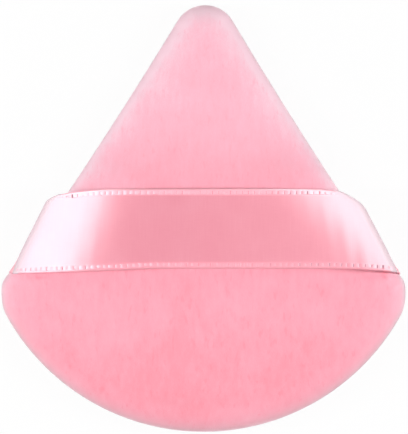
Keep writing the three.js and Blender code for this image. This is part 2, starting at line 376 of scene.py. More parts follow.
def sewnShape(plan, pad):
    # small departures of the sewn pad from its pattern
    lobe, lean = pad["lobe"], pad["lean"]
    swell = lobe["bulge"] * np.exp(-((plan[:, 1] - lobe["y"]) / lobe["reach"]) ** 2)
    aside = swell * plan[:, 0] / lobe["halfWidth"] + lean["share"] * np.maximum(plan[:, 1] - lean["from"], 0)
    return np.column_stack([plan[:, 0] + aside, plan[:, 1]])


class PadOutline:
    def __init__(self, pad):
        self.pad = pad
        half, bow, fillet = pad["length"] / 2, pad["baseBow"], pad["cornerRadius"]
        corner = np.array([pad["width"] / 2 - fillet, bow - half])
        tip = np.array([0, half - pad["tipRadius"]])
        self.baseRadius = (corner[0] ** 2 + bow ** 2 - fillet ** 2) / (2 * (bow - fillet))
        self.base = np.array([0, self.baseRadius - half])
        self.sideRadius = pad["sideRadius"]
        self.side = crossing(tip, self.sideRadius + pad["tipRadius"], corner, self.sideRadius + fillet, 1)
        span = self.sideRadius + self.baseRadius - self.base[1]
        self.middle = np.array([0, (self.side @ self.side - span ** 2) / (2 * (span + self.side[1]))])
        self.inRadius = self.baseRadius - self.base[1] + self.middle[1]

    def points(self, inset, counts):
        # the whole outline, counter-clockwise from the middle of the base
        base, side = self.baseRadius - inset, self.sideRadius + inset
        cornerRadius, tipRadius = (
            max(self.pad[name] - inset, self.pad["sharpest"]) for name in ("cornerRadius", "tipRadius"))
        corner = crossing(self.base, base - cornerRadius, self.side, side + cornerRadius, -1)
        tip = np.array([0, self.side[1] - math.sqrt((side + tipRadius) ** 2 - self.side[0] ** 2)])

        def aim(a, b):
            return math.atan2(b[1] - a[1], b[0] - a[0])

        arcs = [
            (self.base, base, -math.pi / 2, aim(self.base, corner)),
            (corner, cornerRadius, aim(self.base, corner), aim(corner, self.side)),
            (self.side, side, aim(self.side, corner), aim(self.side, tip)),
            (tip, tipRadius, aim(tip, self.side), math.pi / 2),
        ]
        right = []
        for (centre, radius, start, end), count in zip(arcs, counts):
            if centre is self.side:
                # the side arc turns clockwise, through straight left
                end = start + math.remainder(end - start, 2 * math.pi)
            turn = np.linspace(start, end, count, endpoint=False)
            right.append(centre + radius * np.stack([np.cos(turn), np.sin(turn)], 1))
        right = np.concatenate(right)
        top = np.array([[0, tip[1] + tipRadius]])
        left = right[:0:-1] * [-1, 1]
        return np.concatenate([right, top, left])

    def ring(self, inset, counts):
        # offset near the rim, and shrinking towards a circle round the middle further in
        offset = min(inset, self.pad["deepest"])
        size = 1 - (inset - offset) / (self.inRadius - self.pad["deepest"])
        spokes = self.points(offset, counts) - self.middle
        reach = np.linalg.norm(spokes, axis=1)
        length = size * (reach * size + reach.mean() * (1 - size))
        return sewnShape(self.middle + spokes * (length / reach)[:, None], self.pad)

    def levelRing(self, inset, height, counts):
        plan = self.ring(inset, counts)
        return np.column_stack([plan, np.full(len(plan), height)])


class RimFinder:
    # distance in from the rim and place along the rim for any points in plan
    def __init__(self, pad):
        self.rim = sewnShape(outline.points(0, pad["rimSteps"]), pad)
        after = np.roll(self.rim, -1, 0)
        way = unit(after - np.roll(self.rim, 1, 0))
        self.inward = np.stack([-way[:, 1], way[:, 0]], 1)
        steps = np.linalg.norm(after - self.rim, axis=1)
        self.along = np.concatenate([[0], np.cumsum(steps)[:-1]])
        self.around = steps.sum()
        self.tree = KDTree(len(self.rim))
        for i, (x, y) in enumerate(self.rim):
            self.tree.insert((x, y, 0), i)
        self.tree.balance()

    def nearest(self, points):
        return np.array([self.tree.find((p[0], p[1], 0))[1] for p in points])

    def distance(self, points):
        near = self.nearest(points)
        return ((points[:, :2] - self.rim[near]) * self.inward[near]).sum(1)

    def turns(self, points):
        return self.along[self.nearest(points)] / self.around * 2 * math.pi


def crowned(distance, rounding):
    share = 1 - np.clip(distance / rounding, 0, 1)
    return np.sqrt(1 - share ** padSetup["fullness"])


outline = PadOutline(padSetup)
rimFinder = RimFinder(padSetup)
print(f"outline: {rimFinder.around / mm:.1f} mm round")


# velour panels: a sewn pillow is blown up by cloth simulation, and the panels follow its form

velourSetup = {
    "pillowSteps": (30, 10, 34, 10),
    "pillowRings": np.linspace(0, 0.96, 16) ** 1.6,  # shares of the rounding
    "pillowSeam": 0.15 * mm,  # inset of the seam
    "slack": 0.5 * mm,  # the sewn form starts this much flatter than the stuffed one
    "voxel": 1.2 * mm,
    "seamReach": 2 * mm,  # the held points are this close to the rim
    "simScale": 6,  # the cloth is simulated at cushion size
    "frames": 20,
    "cloth": {
        "quality": 6, "mass": 0.3, "tension_stiffness": 20, "compression_stiffness": 20,
        "shear_stiffness": 12, "bending_stiffness": 4, "use_pressure": True, "uniform_pressure_force": 4.0},
    "cap": 0.8 * mm,  # the stuffing moves no point further
    # rings of the outside, in millimetres: insets and heights at the seam, then insets
    "rimProfile": ((0.6, 0.0), (0.36, 0.16), (0.16, 0.42), (0.04, 0.78)),
    "rimInsets": (0, 0.03, 0.1, 0.22, 0.4, 0.65, 1.0, 1.45, 2.0, 2.6, 3.3, 4.1, 4.9),
    "ringPitch": 0.6 * mm,
    "innermost": 0.985,  # share of the widest circle
    "rayHeight": 50 * mm,
    "blown": (2 * mm, 5 * mm),  # inset from which the blown form counts, and the run to its full share
    "evening": (6, 3 * mm),  # rounds, and the inset from which they count
    "thickness": 1.5 * mm,
    "steepest": 1.2,  # the thickness is square to slopes up to this
    "wallFrom": 2.3 * mm,  # inset of the outermost ring of the inside
    # rings over the turned-in allowance, in millimetres: inset and height
    "allowance": ((2.0, 1.6), (2.2, 1.1), (5.2, 1.1), (5.2, 0.0), (2.5, 0.0)),
    "seamGap": 0.08 * mm,
    # the seam parts round the ribbon's tails
    "parting": {
        "height": 0.2 * mm, "depth": 8 * mm, "y": -2.6 * mm, "reach": 8 * mm, "span": (-14 * mm, 9 * mm)},
    # stitches draw the rim in; slow: share, waves round the rim and phase of a second wave
    "pucker": {
        "height": 0.07 * mm, "pitch": 3.4 * mm, "slow": (0.6, 37, 1.3), "inset": 1.2 * mm, "reach": 1.6 * mm},
    # uneven stuffing: waves and phases of two crossed waves; share, waves and phase of a slanted one
    "lump": {
        "height": 0.06 * mm, "from": 4 * mm, "run": 6 * mm, "crossed": ((310, 1.1), (260, 0.4)),
        "slanted": (0.7, 520, -390, 2.0)},
    "rimSheen": ((0.5, 1.5 * mm), (0.8, 4.5 * mm)),  # painted sheen at the rim: shares and reaches; the second fades towards the base
    "rimSheenFade": {"run": 20 * mm, "middle": 1.4, "range": (0.25, 0.82)},
    # painted shadow and light on the pile beside the ribbon, in millimetres: middle, reach and tone
    "shadeAndLightPatches": (
        ((33.8, -10.4), (0.45, 0.7), -1.1),
        ((34.6, -11.6), (0.35, 0.9), 0.4),
        ((32.0, -10.8), (3.0, 0.9), -0.4),
        ((-31.4, -10.9), (2.2, 0.35), -0.7),
        ((-16.5, 6.5), (6.0, 2.5), 0.2),
        ((17.0, 6.5), (6.0, 2.5), 0.1),
        ((-1.0, 8.5), (17.0, 5.0), 0.14),
    ),
    "seamShade": {"base": 0.68, "upper": 0.22, "run": 20 * mm, "reach": 0.75 * mm},  # shares of painted shade at the seam, more towards the base
}


def quadsBetween(a, b, steps):
    # quads between rings that start at points a and b
    return [(a + i, a + (i + 1) % steps, b + (i + 1) % steps, b + i) for i in range(steps)]


def capFaces(high, highMiddle, low, lowMiddle, steps):
    # fans to the middle points of two rings, the lower one turned over
    faces = []
    for i in range(steps):
        j = (i + 1) % steps
        faces.append((high + i, high + j, highMiddle))
        faces.append((low + j, low + i, lowMiddle))
    return faces


def sewnPillow(pad, setup):
    counts, seamHeight = setup["pillowSteps"], pad["seamHeight"]
    steps = 2 * sum(counts)

    def half(sign):
        crown, rounding = pad["panels"][sign]
        crown -= setup["slack"]
        made = []
        for zone in setup["pillowRings"]:
            height = pad["lip"] + (crown - pad["lip"]) * crowned(zone * rounding, rounding)
            made.append(outline.levelRing(zone * rounding, seamHeight + sign * height, counts))
        return made, (*outline.middle, seamHeight + sign * crown)

    back, backTop = half(1)
    face, faceTop = half(-1)
    rings = [*face[::-1], outline.levelRing(setup["pillowSeam"], seamHeight, counts), *back]
    points = [*np.concatenate(rings), faceTop, backTop]
    faces = []
    for k in range(len(rings) - 1):
        faces += quadsBetween(k * steps, (k + 1) * steps, steps)
    faces += capFaces((len(rings) - 1) * steps, len(points) - 1, 0, len(points) - 2, steps)
    return meshObject("sewn_pillow", points, faces)


def blowUp(pillow, start, onSeam, seamHeight, setup):
    writePoints(pillow.data, (start - [0, 0, seamHeight]) * setup["simScale"])
    group = pillow.vertex_groups.new(name="seam")
    group.add([int(i) for i in np.flatnonzero(onSeam)], 1.0, "REPLACE")
    cloth = pillow.modifiers.new("stuffing", "CLOTH")
    for key, value in setup["cloth"].items():
        setattr(cloth.settings, key, value)
    cloth.settings.effector_weights.gravity = 0
    cloth.settings.vertex_group_mass = "seam"
    cloth.collision_settings.use_collision = False
    cloth.collision_settings.use_self_collision = False
    cloth.point_cache.frame_start = 1
    cloth.point_cache.frame_end = setup["frames"]
    for step in range(1, setup["frames"] + 1):
        scene.frame_set(step)
    pillow = bake(pillow, "stuffed_pillow")
    scene.frame_set(1)
    moved = readPoints(pillow.data) / setup["simScale"] + [0, 0, seamHeight] - start
    far = np.linalg.norm(moved, axis=1)
    print(f"stuffing moved the velour by up to {far.max() / mm:.2f} mm")
    held = setup["cap"] * np.tanh(far / setup["cap"]) / np.maximum(far, 1e-9)
    writePoints(pillow.data, start + moved * held[:, None])
    return pillow


def stuffedPillow(pad, setup):
    pillow = sewnPillow(pad, setup)
    remesh = pillow.modifiers.new("even", "REMESH")
    remesh.mode = "VOXEL"
    remesh.voxel_size = setup["voxel"]
    pillow = bake(pillow, "stuffed_pillow")
    start = readPoints(pillow.data)
    # one row of points all round is held in the seam
    level = np.abs(start[:, 2] - pad["seamHeight"]) < setup["voxel"] / 2
    onSeam = level & (rimFinder.distance(start) < setup["seamReach"])
    start[onSeam, 2] = pad["seamHeight"]
    writePoints(pillow.data, start)
    pillow = blowUp(pillow, start, onSeam, pad["seamHeight"], setup)
    finer = pillow.modifiers.new("finer", "SUBSURF")
    finer.levels = finer.render_levels = 2
    return bake(pillow, "stuffed_pillow")


def panelHeights(pillow, sign, insets, plans, pad, setup):
    # heights from the seam: the pattern's form at the rim and the blown form further in
    crown, rounding = pad["panels"][sign]
    seamHeight = pad["seamHeight"]
    shape = BVHTree.FromObject(pillow, bpy.context.evaluated_depsgraph_get())
    blownFrom, blownRun = setup["blown"]
    heights = []
    for inset, plan in zip(insets, plans):
        formed = pad["lip"] + (crown - pad["lip"]) * crowned(inset, rounding)
        blown = []
        for x, y in plan:
            hit = shape.ray_cast((x, y, seamHeight + sign * setup["rayHeight"]), (0, 0, -sign))[0]
            blown.append(abs(hit[2] - seamHeight) if hit else formed)
        share = smoothStep((inset - blownFrom) / blownRun)
        heights.append(formed * (1 - share) + np.array(blown) * share)
    heights = np.array(heights)
    rounds, evenFrom = setup["evening"]
    for _ in range(rounds):
        beside = (np.roll(heights, 1, 1) + np.roll(heights, -1, 1)) / 2
        inout = heights.copy()
        inout[1:-1] = (heights[:-2] + heights[2:]) / 2
        even = 0.5 * heights + 0.25 * beside + 0.25 * inout
        heights = np.where((insets > evenFrom)[:, None], even, heights)

    depth = insets[:, None]
    flat = plans.reshape(-1, 2)
    pucker, lump = setup["pucker"], setup["lump"]
    turns = rimFinder.turns(flat)
    share, waves, phase = pucker["slow"]
    wave = np.sin(turns * round(rimFinder.around / pucker["pitch"])) + share * np.sin(turns * waves + phase)
    fade = np.exp(-((depth - pucker["inset"]) / pucker["reach"]) ** 2)
    heights += pucker["height"] * wave.reshape(heights.shape) * fade
    x, y = flat.T
    (wavesX, phaseX), (wavesY, phaseY) = lump["crossed"]
    lumps = np.sin(x * wavesX + phaseX) * np.sin(y * wavesY + phaseY)
    share, wavesX, wavesY, phase = lump["slanted"]
    lumps += share * np.sin(x * wavesX + y * wavesY + phase)
    fade = np.clip((depth - lump["from"]) / lump["run"], 0, 1)
    heights += lump["height"] * lumps.reshape(heights.shape) * fade
    return np.minimum(heights, seamHeight) if sign < 0 else heights


def panelTones(panel, points, sign, setup):
    # lighter at the rim as painted sheen, with painted shadow and light beside the ribbon, and greyed at the
    # seam as painted shade
    distance = np.maximum(rimFinder.distance(points), 0)
    close, wide = (share * np.exp(-distance / reach) for share, reach in setup["rimSheen"])
    fade = setup["rimSheenFade"]
    paintedSheenLightAndShade = close + wide * np.clip(points[:, 1] / fade["run"] + fade["middle"], *fade["range"])
    # painted shadow and a highlight below the ribbon's ends, painted light above its upper edge
    for middle, reach, tone in setup["shadeAndLightPatches"] if sign > 0 else ():
        paintedSheenLightAndShade += tone * np.exp(-(((points[:, :2] / mm - middle) / reach) ** 2).sum(1))
    storeOnPoints(panel, "rim", paintedSheenLightAndShade)
    # greyed along the seam as painted shade, most towards the base
    paintedShade = setup["seamShade"]
    lower = np.clip(-points[:, 1] / paintedShade["run"], 0, 1)
    share = paintedShade["upper"] + (paintedShade["base"] - paintedShade["upper"]) * lower
    storeOnPoints(panel, "edge", share * np.exp(-distance / paintedShade["reach"]))


def velourPanel(pillow, name, sign, pad, setup):
    counts = pad["arcSteps"]
    steps = 2 * sum(counts)
    pitch = setup["ringPitch"]
    deeper = np.arange(pad["deepest"] + pitch, outline.inRadius * setup["innermost"], pitch)
    insets = np.concatenate([np.array(setup["rimInsets"]) * mm, deeper])
    plans = np.array([outline.ring(inset, counts) for inset in insets])
    heights = panelHeights(pillow, sign, insets, plans, pad, setup)

    # outside, from the seam over the rim to the middle
    outside = [outline.levelRing(inset * mm, height * mm, counts) for inset, height in setup["rimProfile"]]
    outside += [np.column_stack(ring) for ring in zip(plans, heights)]
    # inside: back from the middle to the wall, over the turned-in allowance and out to the seam
    slope = np.gradient(heights, insets, axis=0)
    inner = heights - setup["thickness"] * np.sqrt(1 + np.minimum(slope, setup["steepest"]) ** 2)
    walled = insets > setup["wallFrom"]
    inside = [np.column_stack(ring) for ring in zip(plans[walled], inner[walled])][::-1]
    inside += [outline.levelRing(inset * mm, height * mm, counts) for inset, height in setup["allowance"]]
    points = np.concatenate(outside + inside)
    parting = setup["parting"]
    y, (low, high) = points[:, 1], parting["span"]
    tails = np.exp(-((y - parting["y"]) / parting["reach"]) ** 6) * (y > low) * (y < high)
    tails = tails * (rimFinder.distance(points) < parting["depth"])
    points[:, 2] = np.maximum(points[:, 2], setup["seamGap"] / 2 + parting["height"] * tails)

    count, last = len(outside) + len(inside), len(outside) - 1
    faces = []
    for k in range(count):
        if k != last:
            faces += quadsBetween(k * steps, (k + 1) % count * steps, steps)
    faces += capFaces(last * steps, len(points), (last + 1) * steps, len(points) + 1, steps)
    middles = [[*outline.middle, level[-1].mean()] for level in (heights, inner)]
    points = np.concatenate([points, middles])
    points[:, 2] = pad["seamHeight"] + sign * points[:, 2]
    if sign < 0:
        points[:, 2] = np.maximum(points[:, 2], 0.0)  # flat where it rests
        faces = [face[::-1] for face in faces]
    panel = meshObject(name, points, faces)
    shadeSmooth(panel)
    panelTones(panel, points, sign, setup)
    return panel


def velourMaterial():
    material, tree = newMaterial("velour")
    place = objectPlace(tree)
    nap = scaled(tree, place, (1.0, 0.3, 1.0))
    streaks = noise(tree, nap, scale=900, detail=3, roughness=0.6)
    patches = noise(tree, place, scale=75, detail=3, roughness=0.6)
    fibres = noise(tree, nap, scale=7500, detail=3, roughness=0.7)
    # short marks where the pile parts
    partings = ranged(tree, noise(tree, nap, scale=1500, detail=1), 0.62, 0.74)
    # lighter towards the tip as painted light from that side, and at the rim as painted sheen
    tone = ranged(tree, axis(tree, place, "Y"), -40 * mm, 40 * mm, 0.06, 0.68)
    tone = plus(tree, tone, times(tree, attribute(tree, "rim"), 0.58))
    for marks, level, share in (
            (patches, 0.5, 0.40), (streaks, 0.5, 0.30), (fibres, 0.5, 0.30), (partings, 0.0, -0.11)):
        tone = plus(tree, tone, times(tree, minus(tree, marks, level), share))
    tone = plus(tree, times(tree, tone, 0.8), 0.2)
    colour = ramp(tree, tone, [
        (0.0, (210, 100, 126)), (0.2, (245, 147, 161)), (0.3, (245, 153, 168)), (0.4, (246, 162, 178)),
        (0.464, (246, 166, 182)), (0.56, (247, 171, 187)), (0.76, (248, 184, 200)), (0.88, (248, 197, 211)),
        (1.0, (249, 210, 222))])
    # greyed along the seam as painted shade
    colour = mixColour(tree, attribute(tree, "edge"), colour, srgb(206, 186, 190))
    look = {
        "Base Color": colour, "Roughness": 0.95, "Specular IOR Level": 0.15, "Sheen Weight": 1.0,
        "Sheen Roughness": 0.36, "Sheen Tint": srgb(255, 232, 238)}
    height = weighted(tree, (fibres, 0.7), (streaks, 0.5), (partings, -0.3))
    showPrincipled(tree, look, height, strength=0.35, distance=0.15 * mm)
    return material


velour = velourMaterial()
pillow = stuffedPillow(padSetup, velourSetup)
for name, sign, node in (("velour_back", 1, "velour_back_panel"), ("velour_face", -1, "velour_face_panel")):
    panel = velourPanel(pillow, name, sign, padSetup, velourSetup)
    panel.data.materials.append(velour)
    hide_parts(node)
    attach(panel, "pad")
    print(name, len(panel.data.polygons), "faces")
bpy.data.objects.remove(pillow)


# sponge core: die-cut foam with open pores

foamSetup = {"pore": 0.55 * mm, "edge": 0.4 * mm, "edgeSteps": 2, "edgeAngle": 40, "merge": 0.001 * mm}


def foamMaterial(setup):
    material, tree = newMaterial("foam")
    place = objectPlace(tree)
    pores = outputOf(tree, "ShaderNodeTexVoronoi", {"Vector": place, "Scale": 1 / setup["pore"]})
    shade = weighted(tree, (pores, 0.8), (noise(tree, place, scale=160, detail=4), 0.3))
    colour = ramp(tree, shade, [(0.1, (214, 196, 176)), (0.5, (245, 235, 220)), (0.9, (252, 247, 238))])
    look = {"Base Color": colour, "Roughness": 0.95}
    showPrincipled(tree, look, pores, strength=0.8, distance=0.3 * mm)
    return material


def foamCore(setup):
    shape = bmesh.new()
    shape.from_mesh(frame["nodes"]["sponge_core"].data)
    bmesh.ops.remove_doubles(shape, verts=shape.verts, dist=setup["merge"])
    mesh = bpy.data.meshes.new("foam_core")
    shape.to_mesh(mesh)
    shape.free()
    core = addObject("foam_core", mesh)
    edge = core.modifiers.new("cut_edge", "BEVEL")
    edge.width = setup["edge"]
    edge.segments = setup["edgeSteps"]
    edge.angle_limit = math.radians(setup["edgeAngle"])
    core = bake(core, "foam_core")
    core.data.materials.clear()
    core.data.materials.append(foamMaterial(setup))
    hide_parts("sponge_core")
    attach(core, "pad")


foamCore(foamSetup)
print("sponge core cut")


# ribbon strap: one length of satin, arched over the back and folded into both side seams

ribbonSetup = {
    "width": 15 * mm,
    "thickness": 0.26 * mm,
    "columns": 44,
    "steps": {"path": 1400, "top": 104, "fold": 24, "back": 25, "tail": 8},
    "longest": 46 * mm,  # path tried from the middle to a fold
    "centreY": -2.0 * mm,
    "topHeight": 12.5 * mm,  # of its middle over the seam
    "blendTop": 0.94,  # share of that height from which it moves fully with the strap
    "drawnIn": 0.30 * mm,  # of the taut lower edge, along the middle
    "gather": 0.10,  # how much narrower it is at the seam
    "gatherAtFold": 0.3,  # share of that at the folds
    "foldLine": (30.86 * mm, -0.513),  # place of the folds at Y = 0, and its change with Y
    "foldRun": 0.9 * mm,
    "foldReach": 0.62,  # share of that run that reaches outwards
    "foldPower": 1.3,
    "lowCornerFrom": (-4.5 * mm, 5 * mm),  # Y where the lower corner starts, and its run
    # share, lengths of a wave along and across, and phase
    "ripples": ((1.0, 0.5 * mm, 4 * mm, 0.0), (0.8, 0.83 * mm, -3 * mm, 1.0)),
    "rippleLeast": 0.3,  # share at the upper edge
    # round the rim into the seam: swing out and share of the height, then places from the rim
    "swing": (0.25 * mm, 0.45),
    "mouth": (0.95 * mm, 0.05 * mm),
    "inSeam": 0.6 * mm,
    "rimAbove": -15 * mm,  # Y from which the rim has one point at each side
    "tail": 3.6 * mm,
    "tailWay": (-0.84, -0.55),
    "crease": (1.4 * mm, 0.3 * mm),  # reach of the rougher satin with grey painted shade, before and past the folds
    "shoulder": (4 * mm, 1.3),  # run over which it turns, and how many runs before the fold that starts
    # of the left and of the right side
    "sides": {
        "arch": (6.5, 2.5),  # degrees of tilt before the bend
        "bendStart": ((12.2 * mm, -0.36), (15.4 * mm, -0.93)),  # and its change across
        "bendRun": (18 * mm, 22 * mm),
        "tilts": ((25.5, 31), (24, 26)),  # degrees at the end of the bend and after slopeRun
        "slopeRun": (2.8 * mm, 4 * mm),
        # how far the upper corner is drawn in, and from which Y; and how far the lower one is
        "corner": ((5.6 * mm, 2.9 * mm), (4.2 * mm, 1.6 * mm)),
        "lowCorner": (0.42 * mm, 0.18 * mm),
        # slips towards the base, each at the lower and the upper edge
        "slipFold": ((1.34 * mm, 0.95 * mm), (1.0 * mm, 0.3 * mm)),
        "slipSeam": ((1.3 * mm, 1.5 * mm), (1.8 * mm, 1.8 * mm)),
        "slipRun": ((28 * mm, 14 * mm), (15 * mm, 6 * mm)),
        "slipPower": ((1.1, 2.2), (2.2, 2.2)),
        "ripple": (0.008 * mm, 0.021 * mm),
    },
}


def rimAt(y, setup):
    # half width of the pad at the seam
    rim = rimFinder.rim
    right = rim[(rim[:, 0] > 0) & (rim[:, 1] > setup["rimAbove"])]
    order = np.argsort(right[:, 1])
    return np.interp(y, right[order, 1], right[order, 0])


def foldPlace(side, foldY, setup):
    # how far out the fold is
    size, start = side["corner"]
    end = setup["centreY"] + setup["width"] / 2
    lowStart, lowRun = setup["lowCornerFrom"]
    rounded = size * (max(foldY - start, 0) / (end - start)) ** 2
    rounded += side["lowCorner"] * (max(lowStart - foldY, 0) / lowRun) ** 2
    return setup["foldLine"][0] + setup["foldLine"][1] * foldY - rounded


def strapTop(side, start, foldOut, setup):
    # way out, drop and length laid of a thread, up to and over the fold
    steps, foldRun = setup["steps"], setup["foldRun"]
    arch, first, second = (math.radians(a) for a in (side["arch"], *side["tilts"]))
    run = np.linspace(0, setup["longest"], steps["path"])
    tilt = arch * np.clip(run / start, 0, 1) + (first - arch) * smoothStep((run - start) / side["bendRun"])
    tilt += (second - first) * np.clip((run - start - side["bendRun"]) / side["slopeRun"], 0, 1)
    out = np.cumsum(np.cos(tilt)) * run[1]
    drop = np.cumsum(np.sin(tilt)) * run[1]
    turn = np.interp(foldOut - setup["foldReach"] * foldRun, out, run)
    laid = np.linspace(0, turn, steps["top"])
    out, drop, tilt = (np.interp(laid, run, values) for values in (out, drop, tilt))
    t = (np.arange(steps["fold"]) + 0.5) / steps["fold"]
    over = tilt[-1] + (math.pi / 2 - tilt[-1]) * t ** setup["foldPower"]
    out = np.concatenate([out, out[-1] + np.cumsum(np.cos(over)) * foldRun / steps["fold"]])
    drop = np.concatenate([drop, drop[-1] + np.cumsum(np.sin(over)) * foldRun / steps["fold"]])
    laid = np.concatenate([laid, turn + (t + 0.5 / steps["fold"]) * foldRun])
    return out, drop, laid


def strapColumn(side, across, setup):
    # one warp thread of half the ribbon, from the middle of the strap to the end of its tail
    upper = across / setup["width"] + 0.5
    lower = 1 - upper
    slips = ("slipFold", "slipSeam", "slipRun", "slipPower")
    slipFold, slipSeam, slipRun, slipPower = (
        side[name][0] * lower + side[name][1] * upper for name in slips)
    centreY = setup["centreY"] + setup["drawnIn"] * lower
    narrower = setup["gather"] * setup["gatherAtFold"]
    foldOut = foldPlace(side, centreY + across * (1 - narrower) - slipFold, setup)
    start = side["bendStart"][0] + side["bendStart"][1] * across
    out, drop, laid = strapTop(side, start, foldOut, setup)
    slipped = np.clip((laid - laid[-1]) / slipRun + 1, 0, 1)  # only close to the fold
    bent = np.clip((laid - start) / (laid[-1] - start), 0, 1)
    y = centreY + across * (1 - narrower * bent ** 2) - slipFold * slipped ** slipPower
    wave = 0
    for share, along, sideways, phase in setup["ripples"]:
        wave = wave + share * np.sin(out / along + across / sideways + phase)
    least = setup["rippleLeast"]
    height = setup["topHeight"] - drop
    height += side["ripple"] * wave * np.sin(bent * math.pi) ** 2 * (least + (1 - least) * lower)

    # back round the rim into the seam, then the tail
    t = np.linspace(0, 1, setup["steps"]["back"] + 1)[1:]
    seamY = setup["centreY"] + across * (1 - setup["gather"]) - slipSeam
    rim = rimAt(seamY, setup)
    seamOut = rim - setup["inSeam"]
    swing, level = setup["swing"]
    mouth, mouthHeight = setup["mouth"]
    ends = np.array([
        (out[-1], height[-1]),
        (out[-1] + swing, height[-1] * level),
        (rim + mouth, mouthHeight),
        (seamOut, 0),
    ])
    weights = np.stack([(1 - t) ** 3, 3 * (1 - t) ** 2 * t, 3 * (1 - t) * t ** 2, t ** 3], 1)
    back = weights @ ends
    backY = y[-1] + (seamY - y[-1]) * smoothStep(t)
    tail = np.linspace(0, setup["tail"], setup["steps"]["tail"] + 1)[1:]
    tailOut, tailUp = setup["tailWay"]
    points = np.concatenate([
        np.column_stack([out, y, height]),
        np.column_stack([back[:, 0], backY, back[:, 1]]),
        np.column_stack([seamOut + tail * tailOut, seamY + tail * tailUp, 0 * tail]),
    ])
    run = runAlong(points)
    fromFold = run - run[len(out) - 1]
    before, past = setup["crease"]
    crease = np.exp(-(fromFold / np.where(fromFold < 0, before, past)) ** 4)
    shoulderRun, shoulderStart = setup["shoulder"]
    return np.column_stack([points, crease, smoothStep(fromFold / shoulderRun + shoulderStart)])


def ribbonGrid(setup, seamHeight):
    across = np.linspace(-0.5, 0.5, setup["columns"] + 1) * setup["width"]
    halves = []
    for k in range(2):
        side = {name: values[k] for name, values in setup["sides"].items()}
        halves.append(np.stack([strapColumn(side, a, setup) for a in across], 1))
    left, right = halves
    left[:, :, 0] *= -1
    grid = np.concatenate([left[:0:-1], right])
    grid[:, :, 2] += seamHeight
    return grid[:, :, :3], grid[:, :, 3], grid[:, :, 4]  # points, painted fold shade and turn


def satinMaterial(setup):
    material, tree = newMaterial("satin")
    uv = outputOf(tree, "ShaderNodeUVMap", uv_map="ribbon")  # U across and V along, in millimetres
    weft = noise(tree, scaled(tree, uv, (0.12, 3.0, 1)), scale=1.6, detail=3, roughness=0.6)
    warp = noise(tree, scaled(tree, uv, (9.0, 0.5, 1)), scale=1.0, detail=2)
    cloud = noise(tree, uv, scale=0.12, detail=2)
    tone = weighted(tree, (weft, 0.35), (warp, 0.25), (cloud, 0.40))
    colour = ramp(tree, tone, [(0.25, (230, 134, 152)), (0.5, (235, 143, 160)), (0.75, (239, 153, 170))])
    # pale woven margins with the row of wraps between them, as far as the shoulders
    across = axis(tree, uv, "X")
    fromEdge = maths(tree, "PINGPONG", across, setup["width"] / mm / 2)
    inner = minus(tree, ranged(tree, fromEdge, 1.4, 1.2), ranged(tree, fromEdge, 1.05, 0.95))
    pale = plus(tree, times(tree, inner, 0.6), ranged(tree, fromEdge, 0.5, 0.4))
    pale = times(tree, pale, minus(tree, 1.0, attribute(tree, "turned")))
    # the upper margin is painted lighter and the lower one deeper, as painted light and shade
    marginLightAndShade = mixColour(tree, ranged(tree, across, 3.0, 12.0), srgb(246, 157, 173), srgb(250, 169, 184))
    colour = mixColour(tree, pale, colour, marginLightAndShade)
    # grey along the folds as painted shade, and rougher there
    foldShade = attribute(tree, "crease")
    paintedShade = maths(tree, "MINIMUM", times(tree, foldShade, 2.2), 0.88)
    look = {
        "Base Color": mixColour(tree, paintedShade, colour, srgb(204, 186, 194)),
        "Roughness": plus(tree, times(tree, foldShade, 0.5), 0.42),
        "Tangent": outputOf(tree, "ShaderNodeTangent", direction_type="UV_MAP", uv_map="ribbon"),
        "Anisotropic": 0.8,
        "IOR": 2.3,
    }
    showPrincipled(tree, look, weighted(tree, (weft, 0.6), (warp, 0.5)), strength=0.12, distance=0.1 * mm)
    return material


def satinRibbon(setup, seamHeight):
    grid, crease, turned = ribbonGrid(setup, seamHeight)
    rows, columns = grid.shape[:2]
    faces = []
    for i in range(rows - 1):
        for j in range(columns - 1):
            a = i * columns + j
            faces.append((a, a + columns, a + columns + 1, a + 1))
    piece = meshObject("satin_ribbon", grid.reshape(-1, 3), faces)
    along = runAlong(grid)
    ribbonLength = along[-1].mean()
    along -= along[rows // 2]  # counted from the middle of the strap
    across = np.linspace(0, setup["width"], columns)
    uvMap = piece.data.uv_layers.new(name="ribbon")
    loops = np.empty(len(piece.data.loops), int)
    piece.data.loops.foreach_get("vertex_index", loops)
    uv = np.column_stack([across[loops % columns], along.ravel()[loops]]) / mm
    uvMap.data.foreach_set("uv", uv.ravel())
    storeOnPoints(piece, "crease", crease)
    storeOnPoints(piece, "turned", turned)
    wall = piece.modifiers.new("thickness", "SOLIDIFY")
    wall.thickness = setup["thickness"]
    wall.offset = 0
    piece = bake(piece, "satin_ribbon")
    shadeSmooth(piece)
    piece.data.materials.append(satinMaterial(setup))
    return piece, ribbonLength, (grid, crease, turned)


ribbon, ribbonLength, ribbonForm = satinRibbon(ribbonSetup, padSetup["seamHeight"])
print(f"ribbon: {ribbonSetup['width'] / mm:.1f} by {ribbonLength / mm:.1f} mm flat")


# woven edges of the ribbon: the weft turns round the outermost warp in a row of small wraps

selvedgeSetup = {
    "inputs": {
        "Pitch": 1.1 * mm,
        "Across": 0.66 * mm,
        "Along": 0.84 * mm,
        "Gap across": 0.6 * mm,
        "Gap along": 0.26 * mm,
        "Height": 0.14 * mm,
        "Unevenness": 0.12,
    },
    "gapHeight": 0.8,  # share of the wraps' height
    "gapFrom": 0.75,  # gaps show only where the wraps are fuller than this
    "seed": 4,
    "inset": 0.72 * mm,
    "lift": 0.11 * mm,
    "pressed": 0.55,  # how much smaller the wraps are past the shoulders
    "skipEnds": 7.0 * mm,  # no wraps inside the seam
    "creased": 0.3,  # nor where the ribbon is creased more than this
}


